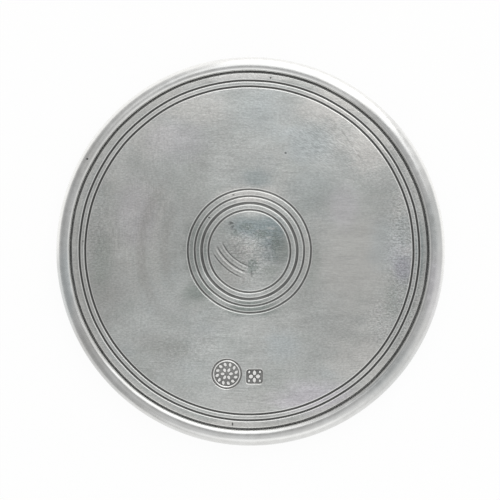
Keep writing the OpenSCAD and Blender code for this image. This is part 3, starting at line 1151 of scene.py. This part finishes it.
def granular_cork(finish):
    """Agglomerated cork: pressed granules in several browns with darker joints."""
    material, filled, shader = new_material("agglomerated cork")
    place = filled.place()
    wobble = filled.node("ShaderNodeTexNoise", {"Vector": place, "Scale": 600.0}).outputs["Color"]
    pushed = filled.node(
        "ShaderNodeVectorMath", {0: wobble, "Scale": 0.0011}, operation="SCALE"
    ).outputs[0]
    warped = filled.vector("ADD", place, pushed)
    granules = filled.node("ShaderNodeTexVoronoi", {"Vector": warped, "Scale": 480.0})
    joints = filled.node(
        "ShaderNodeTexVoronoi", {"Vector": warped, "Scale": 480.0}, feature="DISTANCE_TO_EDGE"
    ).outputs["Distance"]
    brown = filled.node("ShaderNodeSeparateColor", {0: granules.outputs["Color"]}).outputs[0]
    pores = filled.noise(place, 2600.0, 4.0, 0.65)
    tone = filled.mix(filled.spread(brown, 0.05, 0.95), finish.cork_light, finish.cork_dark)
    tone = filled.mix(filled.spread(pores, 0.6, 0.8, 0.0, 0.55), tone, finish.cork_dark)
    tone = filled.mix(filled.spread(joints, 0.10, 0.0, 0.0, 0.8), tone, finish.cork_dark)
    height = filled.plus(filled.spread(joints, 0.0, 0.2), filled.times(pores, 0.7))
    normal = filled.bump(height, 0.7, 0.00015)
    roughness = filled.spread(pores, 0.3, 0.7, 0.78, 0.92)
    set_inputs(filled, shader, base_color=tone, roughness=roughness, normal=normal)
    return material


def hand_in(piece, material, node):
    """Gives a finished piece its material and its place in the model."""
    smoothed(piece)
    piece.data.materials.clear()
    piece.data.materials.append(material)
    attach(piece, BODY)
    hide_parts(node)


def plate_section(levels, plate):
    """Half section of the plate, from the middle of its underside round to the middle of its face."""
    face = levels.face_z
    corners = [
        (0.0, levels.plate_z, 0.0),
        (levels.plate_r, levels.plate_z, SMALL * MM),
        (levels.plate_r, levels.channel_z, SMALL * MM),
        (levels.shoulder_r, levels.channel_z, CHANNEL_SOFT * MM),
        (levels.shoulder_r, face, plate.edge),
    ]
    edge = levels.shoulder_r - plate.edge
    for r, width in levels.rings(plate):
        corners += flat_rows(edge, r + width / 2, face)
        corners.append((r + width / 2, face, plate.ring_lip))
        corners.append((r, face - plate.ring_depth, GROOVE_SOFT * MM))
        corners.append((r - width / 2, face, plate.ring_lip))
        edge = r - width / 2
    corners += flat_rows(edge, 0.0, face)
    corners.append((0.0, face, 0.0))
    return softened(corners)


def flat_rows(outer, inner, height, step=4 * MM):
    """Rows of points across a flat part of the face, a few millimetres apart."""
    count = int((outer - inner) / step)
    return [(outer - (outer - inner) * (i + 1) / (count + 1), height, 0.0) for i in range(count)]


def leaf(name, length, width, height):
    """A pointed leaf that runs out from the origin along +X: a spindle spun, pressed flat and cut
    level at its height."""
    half = length / 2
    bulge = width / 2
    radius = (half ** 2 + bulge ** 2) / (2 * bulge)
    reach = math.degrees(math.asin(half / radius))
    outline = [(r, z) for r, z, _ in arc((bulge - radius, 0.0), radius, -reach, reach, 12)]
    outline[0] = (0.0, -half)
    outline[-1] = (0.0, half)
    spindle = turned(name, outline, LEAF_STEPS)
    placed(spindle, (half, 0, 0), (0, math.pi / 2, 0))
    placed(spindle, scale=(1, 1, LEAF_FULLNESS * height / bulge))
    begin_edit()
    bpy.ops.mesh.bisect(
        plane_co=(0, 0, height),
        plane_no=(0, 0, 1),
        use_fill=True,
        clear_outer=True,
        threshold=WELD,
    )
    end_edit()
    return spindle


def leaf_ring(name, size, height, count, root, length, width, slant=0):
    """Leaves set round a middle and joined; all lengths are shares of one size."""
    leaves = []
    for i in range(count):
        one = leaf(f"{name} leaf", length * size, width * size, height)
        placed(one, (root * size, 0, 0), (0, 0, math.radians(slant)))
        leaves.append(placed(one, rotation=(0, 0, math.tau * i / count)))
    return joined(name, leaves)


def pellet(radius, height, x, y):
    """A low round dot of a design."""
    bpy.ops.mesh.primitive_uv_sphere_add(segments=16, ring_count=10, radius=radius)
    dot = placed(named("pellet"), scale=(1, 1, height / radius))
    return placed(dot, (x, y, 0))


def round_cutter(marks, levels):
    """The die of the round mark: a border, slanting leaves and six petals sunk in a turned block."""
    r = marks.seal_d / 2
    sunk = MARK_SUNK * MM
    rise = marks.depth - marks.clear + sunk
    wall = [(r + lean * MM, sunk + height * marks.depth) for lean, height in MARK_WALL]
    top = sunk + 2 * marks.depth
    block = [(0.0, sunk), *wall, (wall[-1][0], top), (0.0, top)]
    cutter = turned("round die", block, DIE_STEPS)
    inner, outer = (part * r for part in SEAL_BORDER)
    width = (outer - inner) / 2
    bpy.ops.mesh.primitive_torus_add(
        major_segments=DIE_STEPS,
        minor_segments=16,
        major_radius=(inner + outer) / 2,
        minor_radius=width,
    )
    border = placed(named("border"), scale=(1, 1, rise / width))
    leaves = leaf_ring("leaves", r, rise, **SEAL_LEAVES)
    petals = leaf_ring("petals", r, rise, **SEAL_PETALS)
    cut_away(cutter, joined("round design", [border, leaves, petals]), use_self=True)
    return placed(cutter, (-marks.seal_left, -marks.seal_front, levels.face_z - marks.depth - sunk))


def tablet_cutter(marks, levels):
    """The die of the small mark: four petals and four pellets sunk in a rounded block."""
    half = min(marks.tablet_w, marks.tablet_h) / 2
    sunk = MARK_SUNK * MM
    rise = marks.depth - marks.clear + sunk
    first = 2 * MARK_WALL[0][0] * MM
    w = marks.tablet_w + first
    h = marks.tablet_h + first
    bpy.ops.mesh.primitive_plane_add(size=1, location=(0, 0, 0))
    cutter = placed(placed(named("small die"), scale=(w, h, 1)), (0, 0, sunk))
    begin_edit()
    bpy.ops.mesh.bevel(offset=marks.tablet_corner, segments=8, affect="VERTICES")
    for (lean, low), (next_lean, high) in zip(MARK_WALL, MARK_WALL[1:]):
        bpy.ops.mesh.extrude_region_move(
            TRANSFORM_OT_translate={"value": (0, 0, (high - low) * marks.depth)}
        )
        grown = 2 * (next_lean - lean) * MM
        bpy.ops.transform.resize(
            value=((w + grown) / w, (h + grown) / h, 1), center_override=(0, 0, 0)
        )
        w += grown
        h += grown
    bpy.ops.mesh.extrude_region_move(TRANSFORM_OT_translate={"value": (0, 0, marks.depth)})
    end_edit()
    shapes = [leaf_ring("small petals", half, rise, **SMALL_PETALS)]
    inset = SMALL_PELLET_INSET * half
    for x in (inset - marks.tablet_w / 2, marks.tablet_w / 2 - inset):
        for y in (inset - marks.tablet_h / 2, marks.tablet_h / 2 - inset):
            shapes.append(pellet(SMALL_PELLET_R * half, rise, x, y))
    cut_away(cutter, joined("small design", shapes), use_self=True)
    place = (marks.tablet_right, -marks.tablet_front, levels.face_z - marks.depth - sunk)
    return placed(cutter, place)


class COASTER_OT_plate(bpy.types.Operator):
    """Turn the plate with its rings and punch the two marks"""

    bl_idname = "coaster.plate"
    bl_label = "Plate"
    bl_options = {"REGISTER", "UNDO"}

    def execute(self, context):
        scene = context.scene
        levels = Levels(scene)
        plate = turned("turned_plate", plate_section(levels, scene.coaster_plate))
        cut_away(plate, round_cutter(scene.coaster_marks, levels))
        cut_away(plate, tablet_cutter(scene.coaster_marks, levels))
        hand_worked(plate, levels, scene.coaster_hand)
        material = plate_pewter(levels, scene.coaster_finish, scene.coaster_hand)
        hand_in(plate, material, "plate")
        return {"FINISHED"}


def rim_section(levels, rim, under):
    """Closed half section of the rim: foot, cove, bead, seam, seat and ledge."""
    inner = rim.bead_inner_r
    outer = levels.bead_outer_r
    cove_low = 180 + math.degrees(math.acos((levels.cove_mid_r - levels.foot_r) / rim.cove_r))
    lip = math.acos((levels.rim_r - levels.cove_mid_r) / rim.cove_r)
    start = (levels.ledge_r, (levels.ledge_z + under.foot_gap) / 2, 0.0)
    corners = [
        start,
        (levels.ledge_r, under.foot_gap, rim.foot_edge),
        (levels.foot_r, under.foot_gap, rim.foot_edge),
    ]
    corners += arc((levels.cove_mid_r, levels.cove_z), rim.cove_r, cove_low, 82, 18)
    corners.append((levels.rim_r, levels.cove_z + rim.cove_r * math.sin(lip), LEDGE_SOFT * MM))
    corners += arc((levels.rim_r - outer, levels.crest_z - outer), outer, 0, 90, 40)
    corners += arc((levels.bead_in_r + inner, levels.crest_z - inner), inner, 90, 180, 18)
    corners += [
        (levels.bead_in_r, levels.channel_z, KEEN * MM),
        (levels.seat_r, levels.channel_z, KEEN * MM),
        (levels.seat_r, levels.ledge_z, SMALL * MM),
        (levels.ledge_r, levels.ledge_z, LEDGE_SOFT * MM),
        start,
    ]
    return softened(corners)


class COASTER_OT_rim(bpy.types.Operator):
    """Turn the beaded rim with its cove, foot, seat and ledge"""

    bl_idname = "coaster.rim"
    bl_label = "Rim"
    bl_options = {"REGISTER", "UNDO"}

    def execute(self, context):
        scene = context.scene
        levels = Levels(scene)
        rim = turned("beaded_rim", rim_section(levels, scene.coaster_rim, scene.coaster_underside))
        hand_worked(rim, levels, scene.coaster_hand)
        material = rim_pewter(levels, scene.coaster_finish, scene.coaster_hand)
        hand_in(rim, material, "rim_ring")
        return {"FINISHED"}


class COASTER_OT_solder(bpy.types.Operator):
    """Run the solder under the plate"""

    bl_idname = "coaster.solder"
    bl_label = "Solder"
    bl_options = {"REGISTER", "UNDO"}

    def execute(self, context):
        scene = context.scene
        levels = Levels(scene)
        leg = scene.coaster_underside.solder_leg
        across, down, soft = FILLET_HOLLOW
        start = (levels.ledge_r + leg, levels.ledge_z, 0.0)
        section = softened([
            start,
            (levels.plate_r, levels.ledge_z, 0.0),
            (levels.plate_r, levels.plate_z, 0.0),
            (levels.ledge_r - leg, levels.plate_z, 0.0),
            (levels.ledge_r - across * leg, levels.plate_z - down * leg, soft * leg),
            (levels.ledge_r, levels.plate_z - leg, 0.0),
            (levels.ledge_r, levels.ledge_z, 0.0),
            start,
        ])
        solder = turned("solder_fillet", section, SOLDER_STEPS)
        hand_in(solder, dull_solder(scene.coaster_finish), "solder_seam")
        return {"FINISHED"}


class COASTER_OT_adhesive(bpy.types.Operator):
    """Spread the adhesive film over the cork"""

    bl_idname = "coaster.adhesive"
    bl_label = "Adhesive"
    bl_options = {"REGISTER", "UNDO"}

    def execute(self, context):
        scene = context.scene
        levels = Levels(scene)
        under = scene.coaster_underside
        section = softened([
            (0.0, under.cork_t, 0.0),
            (levels.glue_r, under.cork_t, FILM_SOFT * MM),
            (levels.glue_r - FILM_LEAN * MM, levels.plate_z, FILM_SOFT * MM),
            (0.0, levels.plate_z, 0.0),
        ])
        film = turned("adhesive_film", section, FILM_STEPS)
        hand_in(film, amber_film(scene.coaster_finish), "cork_adhesive")
        return {"FINISHED"}


class COASTER_OT_cork(bpy.types.Operator):
    """Cut the cork pad"""

    bl_idname = "coaster.cork"
    bl_label = "Cork pad"
    bl_options = {"REGISTER", "UNDO"}

    def execute(self, context):
        scene = context.scene
        levels = Levels(scene)
        under = scene.coaster_underside
        section = softened([
            (0.0, 0.0, 0.0),
            (levels.cork_r, 0.0, under.cork_edge),
            (levels.cork_r, under.cork_t, SMALL * MM),
            (0.0, under.cork_t, 0.0),
        ])
        cork = turned("cork_disc", section)
        hand_in(cork, granular_cork(scene.coaster_finish), "cork_pad")
        return {"FINISHED"}


# Soft lights: name, setting that holds the power, width, depth, azimuth and zenith in degrees of
# the direction that it shines from, and distance
LIGHTS = (
    ("key light", "key_power", 1.1, 1.48, 70, 54, 1.1),
    ("front card", "fill_power", 1.2, 0.5, 270, 60, 1.2),
)

# The room as metal mirrors it is white, but for the strip overhead and the two sides
STRIP_GREY = 0.62
RIGHT_GREY = 0.82
LEFT_GREY = 0.56

# Strength of the room's light, and the share of white in the floor as it is seen
ROOM_STRENGTH = 0.75
WHITE_SHARE = 0.94


def soft_light(name, power, width, depth, azimuth, zenith, distance):
    """A rectangular soft light that looks at the coaster from a direction in degrees."""
    a = math.radians(azimuth)
    z = math.radians(zenith)
    back = Vector((math.cos(a) * math.sin(z), math.sin(a) * math.sin(z), math.cos(z)))
    bpy.ops.object.light_add(type="AREA", location=back * distance)
    light = named(name)
    light.data.energy = power
    light.data.shape = "RECTANGLE"
    light.data.size = width
    light.data.size_y = depth
    light.rotation_mode = "QUATERNION"
    light.rotation_quaternion = back.to_track_quat("Z", "Y")
    light.visible_camera = False


def seen_directly(filled):
    """1 for what the camera sees, itself or in metal or glass, and 0 for what only lights things."""
    path = filled.node("ShaderNodeLightPath").outputs
    seen = filled.most(path["Is Camera Ray"], path["Is Glossy Ray"])
    return filled.most(seen, path["Is Transmission Ray"])


def studio_world(scene):
    """A white room with a dimmer strip overhead from left to right and a dim left side."""
    world = bpy.data.worlds.new("studio")
    scene.world = world
    world.use_nodes = True
    world.node_tree.nodes.clear()
    filled = Tree(world.node_tree)
    way = filled.node("ShaderNodeTexCoord").outputs["Generated"]
    parts = filled.node("ShaderNodeSeparateXYZ", {0: way}).outputs
    strip = filled.spread(filled.maths("ABSOLUTE", parts["Y"]), 0.40, 0.05)
    right = filled.spread(parts["X"], 0.30, 0.60)
    left = filled.spread(parts["X"], -0.10, -0.60)
    shown = WHITE
    for mask, grey in ((strip, STRIP_GREY), (right, RIGHT_GREY), (left, LEFT_GREY)):
        shown = filled.mix(mask, shown, (grey, grey, grey))
    seen = filled.node("ShaderNodeBackground", {"Color": shown, "Strength": 1.0})
    lit = filled.node("ShaderNodeBackground", {"Color": WHITE, "Strength": ROOM_STRENGTH})
    both = filled.node(
        "ShaderNodeMixShader", {0: seen_directly(filled), 1: lit.outputs[0], 2: seen.outputs[0]}
    )
    filled.node("ShaderNodeOutputWorld", {"Surface": both.outputs[0]})


def floor_material(tint):
    """A pale floor that looks white and still takes the coaster's shadow."""
    material, filled, shader = new_material("pale floor")
    set_inputs(filled, shader, base_color=rgba(tint), roughness=0.9, specular_ior_level=0.0)
    white = filled.node("ShaderNodeEmission", {"Color": WHITE, "Strength": 1.0})
    share_white = filled.times(seen_directly(filled), WHITE_SHARE)
    both = filled.node(
        "ShaderNodeMixShader", {0: share_white, 1: shader.outputs[0], 2: white.outputs[0]}
    )
    output = next(n for n in filled.tree.nodes if n.type == "OUTPUT_MATERIAL")
    filled.tree.links.new(both.outputs[0], output.inputs["Surface"])
    return material


class COASTER_OT_stage(bpy.types.Operator):
    """Set the floor, the soft light and the camera"""

    bl_idname = "coaster.stage"
    bl_label = "Stage"
    bl_options = {"REGISTER", "UNDO"}

    def execute(self, context):
        scene = context.scene
        studio = scene.coaster_studio
        levels = Levels(scene)
        bpy.ops.object.select_all(action="DESELECT")
        bpy.ops.mesh.primitive_plane_add(size=6.0, location=(0, 0, 0))
        floor = named("floor")
        floor.data.materials.append(floor_material(studio.floor))
        for name, power, *placing in LIGHTS:
            soft_light(name, getattr(studio, power), *placing)
        studio_world(scene)
        view_h = studio.camera_h - levels.face_z
        bpy.ops.object.camera_add(
            location=(-studio.aim_right, studio.aim_front, studio.camera_h), rotation=(0, 0, 0)
        )
        camera = named("camera")
        camera.data.lens = camera.data.sensor_width * view_h / studio.field
        camera.data.clip_start = 0.01
        scene.camera = camera
        scene.view_settings.view_transform = "Standard"
        return {"FINISHED"}


OPERATORS = (
    COASTER_OT_rim,
    COASTER_OT_plate,
    COASTER_OT_solder,
    COASTER_OT_adhesive,
    COASTER_OT_cork,
    COASTER_OT_stage,
)


class COASTER_PT_panel(bpy.types.Panel):
    """Sizes, finishes and steps of the coaster"""

    bl_idname = "COASTER_PT_panel"
    bl_label = "Bottle Coaster"
    bl_space_type = "VIEW_3D"
    bl_region_type = "UI"
    bl_category = "Coaster"

    def draw(self, context):
        layout = self.layout
        for operator in OPERATORS:
            layout.operator(operator.bl_idname)
        for name, group in PROPERTY_GROUPS.items():
            box = layout.box()
            box.label(text=group.__doc__)
            settings = getattr(context.scene, name)
            for field in group.__annotations__:
                box.prop(settings, field)


CLASSES = (*PROPERTY_GROUPS.values(), *OPERATORS, COASTER_PT_panel)


def register():
    for cls in CLASSES:
        bpy.utils.register_class(cls)
    for name, group in PROPERTY_GROUPS.items():
        setattr(bpy.types.Scene, name, PointerProperty(type=group))


def unregister():
    for name in PROPERTY_GROUPS:
        delattr(bpy.types.Scene, name)
    for cls in reversed(CLASSES):
        bpy.utils.unregister_class(cls)


def main():
    """Builds every piece and the stage in order."""
    register()
    bpy.ops.coaster.rim()
    bpy.ops.coaster.plate()
    bpy.ops.coaster.solder()
    bpy.ops.coaster.adhesive()
    bpy.ops.coaster.cork()
    bpy.ops.coaster.stage()


if __name__ == "__main__":
    main()
